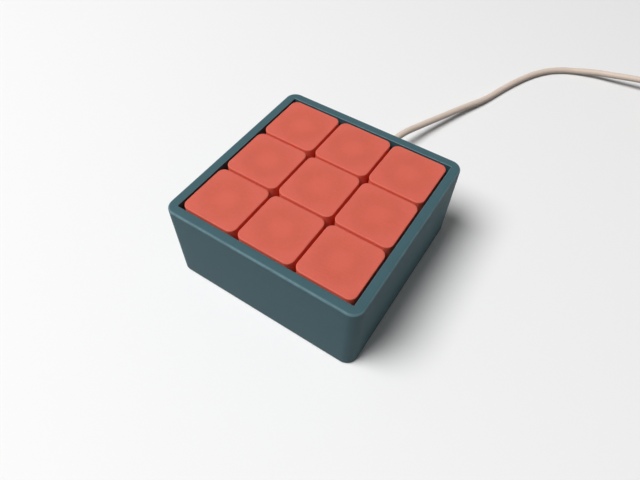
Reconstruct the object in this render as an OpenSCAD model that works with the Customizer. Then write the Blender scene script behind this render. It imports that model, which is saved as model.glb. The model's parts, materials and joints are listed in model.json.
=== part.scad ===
// Macro keypad: nine square keys sunk into a printed case, on a thin white cord.
// Millimetres. Z is up, Y points to the rear where the cord leaves, the floor is z = 0.

/* [Key field] */
// Distance between neighbouring key centres
pitch = 19.05; // [18.5:0.05:21]
// Free travel of a key
key_travel = 4; // [3:0.1:4.2]

/* [Keycaps] */
// Gap between neighbouring caps
cap_gap = 0.85; // [0.6:0.05:1.5]
// Height of a cap from its skirt to its top
cap_h = 7.5; // [7:0.1:9]
// Thickness of a cap's side walls
cap_wall = 1.4; // [1:0.1:1.6]
// Thickness of a cap's roof
cap_roof = 1.5; // [1.2:0.1:1.8]
// Radius of a cap's upright corners
cap_corner_r = 2.7; // [1.8:0.1:4]
// Bevel round the top edge of a cap
cap_bevel = 0.3; // [0.1:0.05:0.6]
// Width of the round dish in a cap's top
dish_d = 15; // [10:0.5:16]
// Depth of the dish
dish_depth = 0.4; // [0.2:0.05:0.7]
// Width of the post under a cap's roof
cap_post_d = 5.5; // [5.2:0.1:6]
// Thickness of the ribs between the post and the walls
cap_rib = 1; // [0.6:0.1:1.6]

/* [Case] */
// Thickness of the case walls
wall = 3; // [2:0.1:5]
// Space between the outer key pitch and the case wall
field_clear = 0.25; // [0.1:0.05:1]
// How far the cap tops stand above the case rim
cap_proud = 0.3; // [0:0.1:2]
// Radius of the case's upright corners
case_corner_r = 3.6; // [2:0.1:8]
// Rounding of the outer edge of the rim
rim_round = 0.8; // [0.3:0.1:1.5]
// Bevel round the bottom edge of the case
base_bevel = 0.6; // [0.3:0.1:1]
// Depth of the ledge that carries the switch plate
ledge_w = 2; // [1:0.1:2.2]
// Height of that ledge
ledge_h = 2; // [1.2:0.1:3]
// Depth of the lip that stops the base cover
lip_w = 1.5; // [1:0.1:2]
// Height of that lip
lip_h = 1.5; // [1:0.1:2.5]

/* [Plate and board] */
// Thickness of the switch plate
plate_t = 1.5; // [1.2:0.1:2]
// Width of a switch cut-out in the plate
cutout = 14; // [13.9:0.05:14.1]
// Thickness of the circuit board
board_t = 1.6; // [1:0.1:2]
// Space under the board, down to the base cover
board_room = 5.1; // [4.6:0.1:8]
// Space between the board's edge and the case ledge
board_clear = 0.35; // [0.2:0.05:1]
// Width of the bosses under the plate and the posts on the cover
boss_d = 5; // [4:0.1:6]

/* [Base cover] */
// Thickness of the base cover
cover_t = 2.4; // [2:0.1:3]
// Gap between the cover or the plate and the case wall
panel_clear = 0.15; // [0.1:0.05:0.4]
// Width of a rubber foot
foot_d = 8; // [6:0.5:10]
// How far the feet stand out under the case
foot_h = 0.8; // [0.5:0.1:2]
// Depth of the pockets that hold the feet
foot_pocket = 0.6; // [0.3:0.1:1]
// Distance from a foot's centre to the case's outer wall
foot_inset = 10.5; // [9:0.5:13]

/* [Screws] */
// Diameter of a cover screw
screw_d = 2; // [1.8:0.1:2.2]
// Length of a cover screw under its head
screw_len = 10; // [9:0.5:10.5]
// Width of a screw head
screw_head_d = 3.8; // [3.4:0.1:4.2]
// Height of a screw head
screw_head_h = 1.3; // [1:0.1:1.5]

/* [Switches] */
// Width of a switch housing's flange
flange_w = 15.6; // [15:0.1:16]
// Thickness of that flange
flange_h = 1; // [0.8:0.1:1.2]
// Depth of a housing below the top of the plate
base_depth = 5; // [4.8:0.1:5.2]
// Height of a housing above the top of the plate
top_h = 6.6; // [6.4:0.1:7]
// Width of the housing's flat top
top_w = 12.2; // [11.8:0.1:12.6]
// Wall of a switch housing
housing_wall = 1.2; // [1:0.1:1.3]
// Diameter of the centre post that locates a switch on the board
post_d = 4; // [3.8:0.1:4.2]
// Length of that post and of the contact pins
post_len = 3.3; // [3:0.1:3.5]
// Width of the tabs that snap a housing under the plate
snap_w = 3.5; // [3:0.1:4]
// How far those tabs stand out
snap_out = 0.4; // [0.2:0.05:0.5]
// Width of a stem's column
stem_w = 6.8; // [6.4:0.1:7]
// Depth of a stem's column
stem_d = 5.6; // [5.4:0.1:6]
// Width across a stem's shoulders
shoulder_w = 9; // [8.6:0.1:9.2]
// Height of the cross on top of a stem
cross_h = 3.6; // [3.2:0.1:3.8]
// Span of the cross
cross_w = 4; // [3.9:0.05:4.1]
// Thickness of the cross's arms
cross_t = 1.2; // [1.1:0.05:1.4]
// Diameter of the guide pole under a stem
pole_d = 1.9; // [1.6:0.1:2]
// Wire of a key spring
wire_d = 0.3; // [0.2:0.05:0.4]
// Width of a key spring across the middle of its wire
spring_d = 3.7; // [3.6:0.05:3.8]

/* [Cord] */
// Diameter of the cord
cord_d = 2.6; // [2.2:0.1:3]
// Width of the coil across the middle of its turns
coil_mid_d = 31.2; // [30:0.2:36]
// Distance between neighbouring turns and layers of the coil
coil_step = 3.2; // [3.1:0.05:3.6]
// Thickness of the tie's strap
tie_t = 0.6; // [0.4:0.1:1]
// Width of the tie's strap
tie_w = 6; // [4:0.5:8]

/* [Hidden] */
columns = ["left", "centre", "right"];
rows = ["front", "middle", "rear"];
keys = [for (r = rows) for (c = columns) str(r, "_", c)];

// Cuts run past the faces they open by this much
over = 0.5;
// Gap that moving pieces keep to what they slide in
slide_gap = 0.35;
// Gap between pieces that plug or fit together
fit_gap = 0.05;
// Gap that holes leave round what passes through them
hole_gap = 0.15;

key_xy = [for (j = [-1:1]) for (i = [-1:1]) [i * pitch, j * pitch]];
key_ids = [for (k = [0:len(keys) - 1]) k];
screw_xy = [for (j = [-1, 1]) for (i = [-1, 1]) [i * pitch / 2, j * pitch / 2]];

// The case and what it stands on
well_w = len(columns) * pitch + 2 * field_clear;
case_w = well_w + 2 * wall;
cover_top_z = foot_h + cover_t;
panel_w = well_w - 2 * panel_clear;
foot_at = case_w / 2 - foot_inset;

// From the cover up to the cap tops, with which the rim lines up
board_z = cover_top_z + board_room;
board_top_z = board_z + board_t;
plate_top_z = board_top_z + base_depth;
plate_z = plate_top_z - plate_t;
skirt_below_stem = 0.5;
skirt_z = plate_top_z + top_h - skirt_below_stem;
cap_top_z = skirt_z + cap_h;
rim_z = cap_top_z - cap_proud;

// Caps
cap_w = pitch - cap_gap;
socket_spare = 0.2;
dish_r = (pow(dish_d / 2, 2) + pow(dish_depth, 2)) / (2 * dish_depth);
cavity_w = cap_w - 2 * cap_wall;

// The board and the screws that hold it and the cover to the plate
board_w = well_w - 2 * ledge_w - 2 * board_clear;
board_corner_r = 1;
pilot_r = screw_d / 2 + fit_gap;
screw_hole_r = screw_d / 2 + hole_gap;
head_sink_share = 1.2;
head_floor_z = foot_h + screw_head_h * head_sink_share;
head_r = screw_head_d / 2;
drive_w = 2;
drive_t = 0.5;
drive_depth = 0.7;

// Inside a switch, measured from the top of the plate
housing_floor = -base_depth + housing_wall;
base_body_w = cutout - 2 * fit_gap;
base_cavity_w = base_body_w - 2 * housing_wall;
collar_h = 3;
snap_h = 1.4;
lamp_w = 4;
lamp_h = 1.6;
collar_r = pole_d / 2 + hole_gap + slide_gap / 2 + fit_gap;
pole_bore_r = pole_d / 2 + hole_gap + fit_gap;
window_w = stem_w + 2 * slide_gap;
window_d = stem_d + 2 * slide_gap;
roof_under = top_h - housing_wall;
shoulder_top = roof_under - slide_gap;
stem_under = housing_floor + key_travel + slide_gap;
pocket_r = spring_d / 2 + wire_d / 2 + slide_gap / 2 + fit_gap;
pocket_top = roof_under - housing_wall / 2;
pole_tip = -base_depth - post_len + housing_wall / 2 + key_travel + slide_gap;
pin_hole_r = 0.75;
pin_w = 1.1;
pin_t = 0.5;
pin_xy = [[3.81, -2.54], [-2.54, -5.08]];

// A spring's wire, drawn as one tube of round turns
spring_turns = 6;
spring_rings = 8;
spring_sides = 6;
spring_z0 = plate_top_z + housing_floor + wire_d / 2 + hole_gap;
spring_z1 = plate_top_z + pocket_top - wire_d / 2 - hole_gap;

// Small parts under the board
chip_w = 7;
chip_h = 1;
chip_xy = [pitch / 2, -1.5];
chip_side_leads = 8;
lead_pitch = 0.8;
lead_w = 0.35;
lead_t = 0.15;
lead_knee = 0.3;
lead_l = 1;
diode_l = 2.7;
diode_w = 1.6;
diode_h = 1.1;
diode_lead_w = 0.6;
diode_lead_l = 0.5;
diode_xy = [-5.6, 4];

// The socket under the board's rear edge, and the connector in it
socket_w = 9;
socket_h = 3.2;
socket_l = 7.4;
socket_wall = 0.3;
socket_z = board_z - socket_h / 2;
socket_mouth_y = well_w / 2 - panel_clear;
tongue_w = 6.6;
tongue_t = 0.7;
tongue_l = 5;
tip_w = 8.2;
tip_h = 2.4;
tip_l = 6;
tip_wall = 0.3;
grip_w = 11.4;
grip_h = 6.4;
grip_l = 15;
grip_r = 2;
grip_bevel = 0.6;
slot_gap = 0.4;
boot_l = 7;
boot_r = 2.6;
boot_tip_r = 1.7;
boot_grooves = 3;
groove_w = 0.6;
groove_depth = 0.4;
grip_y = socket_mouth_y + slot_gap / 2;
cord_y = grip_y + grip_l + boot_l;

// The cord's way from the connector to its coil, chosen by hand
tie_gap = 0.3;
coil_lift = tie_t + tie_gap;
coil_low_z = coil_lift + cord_d / 2;
coil_high_z = coil_low_z + coil_step;
coil_start = [103, 152, coil_high_z];
route = [
    [0, cord_y, socket_z],
    [0, 54, 6.7],
    [1.4, 60, 6.3],
    [3.8, 67.6, 5.1],
    [8, 79, 3.7],
    [12.6, 90.6, 2.6],
    [16.8, 100.2, 1.7],
    [19, 106.4, 1.35],
    [21.8, 115.2, cord_d / 2],
    [25, 123.6, cord_d / 2],
    [28.7, 131.3, cord_d / 2],
    [33, 137.6, cord_d / 2],
    [38, 142.2, cord_d / 2],
    [43.6, 145.2, 1.5],
    [51.8, 147.4, 2.6],
    [60.4, 148.4, 3.8],
    [69.8, 149.6, 4.8],
    [80, 151, 5.2],
    [92, 152, coil_high_z],
    coil_start
];
route_steps = 2;
lead_sides = 8;

// The coil, wound inwards in its upper layer and outwards in its lower one
coil_turns = 8.3;
coil_rings = 24;
coil_sides = 6;
coil_in_r = coil_mid_d / 2 - coil_turns / 4 * coil_step;
coil_out_r = coil_in_r + coil_turns / 2 * coil_step;
coil_centre = [coil_start[0] + cord_d, coil_start[1] - coil_out_r];
coil_end_angle = 90 - 360 * coil_turns;
tail_l = 12;
tail_steps = 6;

// The plug at the cord's far end
plug_grip_w = 15;
plug_grip_h = 7.8;
plug_grip_l = 24;
plug_ribs = 6;
plug_rib_pitch = 1.8;
plug_rib_start = 7;
plug_boot_l = 9;
plug_shell_w = 12;
plug_shell_h = 4.5;
plug_shell_l = 12;
plug_shell_wall = 0.4;
plug_tongue_t = 1.9;
plug_window = 2;
plug_window_gap = 2.4;
plug_window_in = 5;

case_color = "#4a6a72";
cap_color = "#dd6f60";
cord_color = "#e6e0d6";

// Solids that several pieces share

module rounded_square(w, d, r) {
    square([w - 2 * r, d], center = true);
    square([w, d - 2 * r], center = true);
    for (x = [-1, 1])
        for (y = [-1, 1])
            translate([x * (w / 2 - r), y * (d / 2 - r)]) circle(r, $fn = 64);
}

// Half the upright section of a block, with a bevelled foot and a rounded or bevelled top edge
module half_section(half_w, h, foot, round_top, bevel_top) {
    top = max(round_top, bevel_top);
    polygon([
        [0, 0], [half_w - foot, 0], [half_w, foot], [half_w, h - top],
        [half_w - top, h], [0, h]
    ]);
    if (round_top > 0)
        intersection() {
            translate([half_w - top, h - top]) circle(top, $fn = 64);
            translate([half_w - top, h - top]) square(top);
        }
}

module side_run(w, l, h, foot, round_top, bevel_top) {
    rotate([90, 0, 0])
        linear_extrude(l, center = true) {
            half_section(w / 2, h, foot, round_top, bevel_top);
            mirror([1, 0]) half_section(w / 2, h, foot, round_top, bevel_top);
        }
}

module block(w, h, r, foot, round_top, bevel_top) {
    side_run(w, w - 2 * r, h, foot, round_top, bevel_top);
    rotate([0, 0, 90]) side_run(w, w - 2 * r, h, foot, round_top, bevel_top);
    for (x = [-1, 1])
        for (y = [-1, 1])
            translate([x * (w / 2 - r), y * (w / 2 - r), 0])
                rotate_extrude($fn = 64) half_section(r, h, foot, round_top, bevel_top);
}

// A four-sided block that narrows from w0 to w1 over its height
module tapered_block(w0, w1, h) {
    intersection_for (a = [0, 90])
        rotate([90, 0, a])
            linear_extrude(2 * w0, center = true)
                polygon([[-w0 / 2, 0], [w0 / 2, 0], [w1 / 2, h], [-w1 / 2, h]]);
}

module square_box(w, z0, z1) {
    translate([-w / 2, -w / 2, z0]) cube([w, w, z1 - z0]);
}

module bar(w, d, z0, z1) {
    translate([-w / 2, -d / 2, z0]) cube([w, d, z1 - z0]);
}

module rod(r, z0, z1) {
    translate([0, 0, z0]) cylinder(r = r, h = z1 - z0, $fn = 64);
}

module at_screws() {
    for (p = screw_xy) translate(p) children();
}

module at_keys() {
    for (p = key_xy) translate(p) children();
}

// A tube of round section along a path of points
function unit(v) = v / norm(v);
function run(p, i) = unit(p[min(i + 1, len(p) - 1)] - p[max(i - 1, 0)]);
function ring(c, t, r, sides) =
    let (s = unit(cross(t, [0, 0, 1])), u = cross(s, t))
    [for (k = [0:sides - 1]) c + r * (cos(360 * k / sides) * s + sin(360 * k / sides) * u)];
function skin(n, s) = [
    for (i = [0:n - 2]) for (k = [0:s - 1])
        each let (a = i * s + k, b = i * s + (k + 1) % s) [[a, b, b + s], [a, b + s, a + s]]
];
function fan(first, s, flip) = [
    for (k = [1:s - 2])
        flip ? [first, first + k + 1, first + k] : [first, first + k, first + k + 1]
];

module tube(path, r, sides) {
    n = len(path);
    polyhedron(
        points = [for (i = [0:n - 1]) each ring(path[i], run(path, i), r, sides)],
        faces = concat(skin(n, sides), fan(0, sides, true), fan((n - 1) * sides, sides, false))
    );
}

// A smooth curve through hand-chosen points
function blend(a, b, c, d, t) =
    b + t * (c - a) / 2
    + t * t * (2 * a - 5 * b + 4 * c - d) / 2
    + t * t * t * (3 * b - a - 3 * c + d) / 2;
function smooth(p, steps) = concat(
    [
        for (i = [0:len(p) - 2]) for (j = [0:steps - 1])
            blend(p[max(i - 1, 0)], p[i], p[i + 1], p[min(i + 2, len(p) - 1)], j / steps)
    ],
    [p[len(p) - 1]]
);

// The coil's path: u counts turns from the middle, where the spiral reverses and changes layer
function coil_r(u) =
    coil_in_r + coil_step * (abs(u) < 1 / 4 ? 2 * u * u + 1 / 8 : abs(u));
function coil_z(u) =
    coil_low_z + coil_step * (abs(u) < 1 / 4 ? (1 - sin(360 * u)) / 2 : (u < 0 ? 1 : 0));
function coil_angle(u) = 90 - 360 * (u + coil_turns / 2);
function coil_point(u) = [
    coil_centre[0] + coil_r(u) * cos(coil_angle(u)),
    coil_centre[1] + coil_r(u) * sin(coil_angle(u)),
    coil_z(u)
];
coil_count = round(coil_turns * coil_rings);
coil_loops = [
    for (i = [0:coil_count]) coil_point((i / coil_count - 1 / 2) * coil_turns)
];
tail_way = [sin(coil_end_angle), -cos(coil_end_angle), 0];
tail_rise = plug_grip_h / 2 - coil_low_z;
function ease(t) = t * t * (3 - 2 * t);
tail = [
    for (i = [1:tail_steps])
        let (t = i / tail_steps)
        coil_loops[coil_count] + tail_l * t * tail_way + [0, 0, tail_rise * ease(t)],
];
tail_end = tail[tail_steps - 1] + cord_d * tail_way;
coil_path = concat([coil_start], coil_loops, tail, [tail_end]);

// Least gap between turns of the coil, from points at least half a turn apart
gap_span = coil_rings / 2;
coil_gap = min([
    for (i = [0:coil_count - gap_span])
        min([for (j = [i + gap_span:coil_count]) norm(coil_loops[i] - coil_loops[j])])
]) - cord_d;
lead_path = smooth(route, route_steps);
function path_length(p) =
    let (d = [for (i = [1:len(p) - 1]) norm(p[i] - p[i - 1])]) d * [for (x = d) 1];
echo(coil_gap = coil_gap, cord_length = path_length(lead_path) + path_length(coil_path));

// The case and its cover

module grip_opening(w, h, r, y0, y1) {
    translate([0, y1, socket_z])
        rotate([90, 0, 0]) linear_extrude(y1 - y0) rounded_square(w, h, r);
}

module case() {
    color(case_color)
        difference() {
            translate([0, 0, foot_h])
                block(case_w, rim_z - foot_h, case_corner_r, base_bevel, rim_round, 0);
            square_box(well_w, plate_z, rim_z + over);
            square_box(well_w - 2 * ledge_w, foot_h - over, plate_z + over);
            square_box(well_w - 2 * lip_w, cover_top_z - over, plate_z - ledge_h);
            square_box(well_w, cover_top_z + lip_h, plate_z - ledge_h);
            square_box(well_w, foot_h - over, cover_top_z);
            at_keys()
                square_box(
                    base_body_w + 2 * (snap_out + slide_gap), plate_z - ledge_h - over, plate_z
                );
            grip_opening(
                grip_w + 2 * slot_gap, grip_h + 2 * slot_gap, grip_r + slot_gap,
                well_w / 2 - lip_w - over, case_w / 2 + over
            );
        }
}

module base_cover() {
    color(case_color)
        difference() {
            union() {
                square_box(panel_w, foot_h, cover_top_z);
                at_screws() rod(boss_d / 2, cover_top_z - over, board_z);
            }
            at_screws() {
                rod(screw_hole_r, foot_h - over, board_z + over);
                rod(head_r + hole_gap, foot_h - over, head_floor_z);
            }
            for (x = [-1, 1])
                for (y = [-1, 1])
                    translate([x * foot_at, y * foot_at, 0])
                        rod(foot_d / 2 + hole_gap, foot_h - over, foot_h + foot_pocket);
        }
}

module cover_screws() {
    color("silver")
        at_screws()
            difference() {
                union() {
                    rod(screw_d / 2, head_floor_z - over, head_floor_z + screw_len);
                    rod(head_r, head_floor_z - screw_head_h, head_floor_z);
                }
                for (a = [0, 90])
                    rotate([0, 0, a])
                        bar(
                            drive_w, drive_t,
                            head_floor_z - screw_head_h - over,
                            head_floor_z - screw_head_h + drive_depth
                        );
            }
}

module rubber_feet() {
    rim = foot_h / 4;
    color("dimgray")
        for (x = [-1, 1])
            for (y = [-1, 1])
                translate([x * foot_at, y * foot_at, 0])
                    rotate_extrude($fn = 64)
                        polygon([
                            [0, 0], [foot_d / 2 - 2 * rim, 0], [foot_d / 2, rim * 2],
                            [foot_d / 2, foot_h + foot_pocket], [0, foot_h + foot_pocket]
                        ]);
}

// The plate, the board and what is soldered to it

module switch_plate() {
    color(case_color)
        difference() {
            union() {
                square_box(panel_w, plate_z, plate_top_z);
                at_screws() rod(boss_d / 2, board_top_z, plate_z + over);
            }
            at_keys() square_box(cutout, plate_z - over, plate_top_z + over);
            at_screws() rod(pilot_r, board_top_z - over, plate_z + plate_t / 2);
        }
}

module key_board() {
    color("darkslategray")
        difference() {
            translate([0, 0, board_z])
                linear_extrude(board_t) rounded_square(board_w, board_w, board_corner_r);
            at_keys() {
                rod(post_d / 2 + hole_gap, board_z - over, board_top_z + over);
                for (p = pin_xy)
                    translate(p) rod(pin_hole_r, board_z - over, board_top_z + over);
            }
            at_screws() rod(screw_hole_r, board_z - over, board_top_z + over);
        }
}

// A lead that leaves the chip's side at mid height and bends up to the board, outwards along X
module chip_lead() {
    mid = -chip_h / 2;
    rotate([90, 0, 0])
        linear_extrude(lead_w, center = true)
            polygon([
                [-over, mid - lead_t / 2], [lead_knee, mid - lead_t / 2],
                [lead_knee + lead_t, -lead_t], [lead_l, -lead_t], [lead_l, 0], [lead_knee, 0],
                [lead_knee - lead_t, mid + lead_t / 2], [-over, mid + lead_t / 2]
            ]);
}

module controller_chip() {
    color("black")
        translate([chip_xy[0], chip_xy[1], board_z]) {
            bar(chip_w, chip_w, -chip_h, -lead_t);
            for (a = [0:90:270])
                for (i = [0:chip_side_leads - 1])
                    rotate([0, 0, a])
                        translate([chip_w / 2, (i - (chip_side_leads - 1) / 2) * lead_pitch, 0])
                            chip_lead();
        }
}

module diodes() {
    color("black")
        at_keys()
            translate(diode_xy) {
                bar(diode_w, diode_l, board_z - diode_h, board_z);
                bar(diode_lead_w, diode_l + 2 * diode_lead_l, board_z - lead_t, board_z);
            }
}

module switch_contacts() {
    color("goldenrod")
        at_keys()
            for (p = pin_xy)
                translate(p)
                    bar(pin_w, pin_t, board_top_z - post_len, board_top_z);
}

module usb_socket() {
    floor_y = socket_mouth_y - socket_l;
    color("silver")
        difference() {
            grip_opening(socket_w, socket_h, socket_h / 2 - socket_wall, floor_y, socket_mouth_y);
            difference() {
                grip_opening(
                    socket_w - 2 * socket_wall, socket_h - 2 * socket_wall,
                    socket_h / 2 - 2 * socket_wall,
                    floor_y + 2 * socket_wall, socket_mouth_y + over
                );
                translate([-tongue_w / 2, floor_y, socket_z - tongue_t / 2])
                    cube([tongue_w, tongue_l, tongue_t]);
            }
        }
}

// One key: cap, stem, spring and the two halves of the switch housing

module keycap(k) {
    roof_z = cap_h - cap_roof;
    rib_z = skirt_below_stem + key_travel + slide_gap;
    color(cap_color)
        translate([key_xy[k][0], key_xy[k][1], skirt_z])
            difference() {
                block(cap_w, cap_h, cap_corner_r, 0, 0, cap_bevel);
                translate([0, 0, cap_h - dish_depth + dish_r]) sphere(dish_r, $fn = 240);
                difference() {
                    translate([0, 0, -over])
                        linear_extrude(roof_z + over)
                            rounded_square(cavity_w, cavity_w, cap_corner_r - cap_wall);
                    rod(cap_post_d / 2, skirt_below_stem, roof_z + over);
                    bar(cap_w, cap_rib, rib_z, roof_z + over);
                    bar(cap_rib, cap_w, rib_z, roof_z + over);
                }
                for (a = [0, 90])
                    rotate([0, 0, a])
                        bar(
                            cross_w + 2 * fit_gap, cross_t + 2 * fit_gap,
                            -over, skirt_below_stem + cross_h + socket_spare
                        );
            }
}

module stem(k) {
    color("firebrick")
        translate([key_xy[k][0], key_xy[k][1], plate_top_z]) {
            difference() {
                union() {
                    bar(stem_w, stem_d, stem_under, top_h);
                    bar(shoulder_w, stem_d, stem_under, shoulder_top);
                }
                rod(pocket_r, stem_under - over, pocket_top);
            }
            rod(pole_d / 2, pole_tip, pocket_top + over);
            bar(cross_w, cross_t, top_h - over, top_h + cross_h);
            bar(cross_t, cross_w, top_h - over, top_h + cross_h);
        }
}

module switch_top(k) {
    color("#333333")
        translate([key_xy[k][0], key_xy[k][1], plate_top_z + flange_h])
            difference() {
                tapered_block(base_body_w, top_w, top_h - flange_h);
                translate([0, 0, -housing_wall])
                    tapered_block(
                        base_body_w - 2 * housing_wall, top_w - 2 * housing_wall,
                        top_h - flange_h
                    );
                bar(window_w, window_d, roof_under - flange_h - over, top_h);
                translate([-lamp_w / 2, window_d / 2 + housing_wall, top_h - flange_h - lamp_h])
                    cube([lamp_w, top_w / 2, top_h]);
            }
}

// A tab with a ramp below and a flat top that catches the underside of the plate
module snap_tab() {
    y = base_body_w / 2;
    z = -plate_t - fit_gap;
    rotate([90, 0, 90])
        linear_extrude(snap_w, center = true)
            polygon([
                [y - fit_gap, z], [y + snap_out, z], [y, z - snap_h], [y - fit_gap, z - snap_h]
            ]);
}

module switch_base(k) {
    color("#262626")
        translate([key_xy[k][0], key_xy[k][1], plate_top_z])
            difference() {
                union() {
                    square_box(base_body_w, -base_depth, flange_h);
                    square_box(flange_w, 0, flange_h);
                    rod(post_d / 2, -base_depth - post_len, -base_depth + over);
                    for (a = [0, 180]) rotate([0, 0, a]) snap_tab();
                }
                difference() {
                    square_box(base_cavity_w, housing_floor, flange_h + over);
                    rod(collar_r, housing_floor - over, housing_floor + collar_h);
                }
                rod(pole_bore_r, -base_depth - post_len + housing_wall / 2, flange_h + over);
            }
}

module spring(k) {
    count = spring_turns * spring_rings;
    path = [
        for (i = [0:count])
            let (a = 360 * i / spring_rings)
            [
                key_xy[k][0] + spring_d / 2 * cos(a),
                key_xy[k][1] + spring_d / 2 * sin(a),
                spring_z0 + (spring_z1 - spring_z0) * i / count
            ]
    ];
    color("silver") tube(path, wire_d / 2, spring_sides);
}

// The cord and what is on it

// A tapered, grooved boot along Z
module boot(l, r0, r1, grooves) {
    difference() {
        cylinder(r1 = r0, r2 = r1, h = l, $fn = 64);
        for (i = [1:grooves])
            translate([0, 0, l * i / (grooves + 1) - groove_w / 2])
                difference() {
                    cylinder(r = r0 + over, h = groove_w, $fn = 64);
                    cylinder(r = r0 + (r1 - r0) * i / (grooves + 1) - groove_depth,
                        h = groove_w, $fn = 64);
                }
    }
}

// A moulded grip along Z, its edges bevelled at both ends
module grip(w, h, l, r, bevel) {
    translate([0, 0, bevel]) linear_extrude(l - 2 * bevel) rounded_square(w, h, r);
    linear_extrude(l) rounded_square(w - 2 * bevel, h - 2 * bevel, r - bevel);
}

// The same grip with finger ribs left between grooves round its middle
module ribbed_grip(w, h, l, r, bevel, ribs) {
    difference() {
        grip(w, h, l, r, bevel);
        for (i = [0:ribs - 1])
            translate([0, 0, plug_rib_start + i * plug_rib_pitch])
                linear_extrude(groove_w)
                    difference() {
                        square([w + over, h + over], center = true);
                        rounded_square(w - 2 * groove_depth, h - 2 * groove_depth, r - groove_depth);
                    }
    }
}

module cable_connector() {
    color(cord_color) {
        translate([0, grip_y, socket_z])
            rotate([-90, 0, 0]) grip(grip_w, grip_h, grip_l, grip_r, grip_bevel);
        translate([0, grip_y + grip_l, socket_z])
            rotate([-90, 0, 0]) boot(boot_l, boot_r, boot_tip_r, boot_grooves);
        difference() {
            grip_opening(tip_w, tip_h, tip_h / 2 - fit_gap, grip_y - tip_l, grip_y + over);
            grip_opening(
                tip_w - 2 * tip_wall, tip_h - 2 * tip_wall, tip_h / 2 - tip_wall - fit_gap,
                grip_y - tip_l - over, grip_y
            );
        }
    }
}

module cable_lead() {
    color(cord_color) tube(lead_path, cord_d / 2, lead_sides);
}

module cable_coil() {
    color(cord_color) tube(coil_path, cord_d / 2, coil_sides);
}

// The tie sits half a turn from where the coil changes layer
module cable_tie() {
    angle = coil_angle(1 / 2);
    r_in = coil_r(1 / 2);
    turns_across = floor(coil_turns / 2 - 1 / 2);
    drift = coil_step * asin(tie_w / 2 / r_in) / 360;
    gap = tie_gap + drift;
    near = sqrt(pow(r_in, 2) - pow(tie_w / 2, 2)) - cord_d / 2 - gap;
    far = r_in + turns_across * coil_step + cord_d / 2 + gap;
    top = coil_high_z + cord_d / 2 + tie_gap;
    color("#444444")
        translate([coil_centre[0], coil_centre[1], 0])
            rotate([90, 0, angle])
                translate([(near + far) / 2, (top + tie_t) / 2, 0])
                    linear_extrude(tie_w, center = true)
                        difference() {
                            rounded_square(far - near + 2 * tie_t, top + tie_t, 2 * tie_t);
                            rounded_square(far - near, top - tie_t, tie_t);
                        }
}

module cable_plug() {
    color(cord_color)
        translate(tail_end)
            rotate([0, 0, coil_end_angle + 180])
                rotate([-90, 0, 0]) {
                    translate([0, 0, plug_boot_l])
                        mirror([0, 0, 1]) boot(plug_boot_l, boot_r, boot_tip_r, boot_grooves);
                    translate([0, 0, plug_boot_l])
                        ribbed_grip(
                            plug_grip_w, plug_grip_h, plug_grip_l, grip_r, grip_bevel, plug_ribs
                        );
                    translate([0, 0, plug_boot_l + plug_grip_l]) plug_shell();
                }
}

module plug_shell() {
    inner_w = plug_shell_w - 2 * plug_shell_wall;
    inner_h = plug_shell_h - 2 * plug_shell_wall;
    difference() {
        bar(plug_shell_w, plug_shell_h, -over, plug_shell_l);
        difference() {
            bar(inner_w, inner_h, 0, plug_shell_l + over);
            translate([0, (inner_h - plug_tongue_t) / 2 + fit_gap, 0])
                bar(inner_w + over, plug_tongue_t, -over, plug_shell_l - plug_shell_wall);
        }
        for (x = [-1, 1])
            translate([x * plug_window_gap, -plug_shell_h / 2, plug_shell_l - plug_window_in])
                bar(plug_window, plug_shell_h / 2, 0, plug_window);
    }
}

case();
base_cover();
cover_screws();
rubber_feet();
switch_plate();
key_board();
controller_chip();
diodes();
usb_socket();
switch_contacts();
for (k = key_ids) keycap(k);
for (k = key_ids) stem(k);
for (k = key_ids) switch_top(k);
for (k = key_ids) switch_base(k);
for (k = key_ids) spring(k);
cable_connector();
cable_lead();
cable_coil();
cable_tie();
cable_plug();
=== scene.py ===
import json
import math

import bmesh
import bpy
from mathutils import Matrix, Vector


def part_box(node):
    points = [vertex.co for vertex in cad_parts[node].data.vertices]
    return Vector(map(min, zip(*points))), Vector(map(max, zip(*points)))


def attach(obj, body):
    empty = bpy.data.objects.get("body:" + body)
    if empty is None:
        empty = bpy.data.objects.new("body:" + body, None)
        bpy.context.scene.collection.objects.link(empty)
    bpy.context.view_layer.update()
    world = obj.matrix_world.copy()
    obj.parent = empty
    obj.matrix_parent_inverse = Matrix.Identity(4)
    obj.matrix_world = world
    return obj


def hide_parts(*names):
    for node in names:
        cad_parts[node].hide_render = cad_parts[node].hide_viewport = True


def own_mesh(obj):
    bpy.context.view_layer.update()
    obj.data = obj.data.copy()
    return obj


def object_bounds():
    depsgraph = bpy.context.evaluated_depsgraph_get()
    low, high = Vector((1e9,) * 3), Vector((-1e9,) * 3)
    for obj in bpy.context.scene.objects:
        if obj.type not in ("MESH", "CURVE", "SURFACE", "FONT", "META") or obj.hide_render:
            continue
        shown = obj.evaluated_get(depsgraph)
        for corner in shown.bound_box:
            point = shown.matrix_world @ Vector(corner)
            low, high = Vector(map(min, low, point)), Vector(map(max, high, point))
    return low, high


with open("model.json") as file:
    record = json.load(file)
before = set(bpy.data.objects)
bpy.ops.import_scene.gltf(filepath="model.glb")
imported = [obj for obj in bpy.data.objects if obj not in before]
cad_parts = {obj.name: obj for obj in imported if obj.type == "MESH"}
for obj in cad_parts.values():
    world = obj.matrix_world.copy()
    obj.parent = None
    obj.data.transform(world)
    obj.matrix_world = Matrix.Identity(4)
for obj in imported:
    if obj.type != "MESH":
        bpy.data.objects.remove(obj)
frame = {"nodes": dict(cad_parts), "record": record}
CAD_BOX = [list(corner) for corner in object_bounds()]

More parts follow.
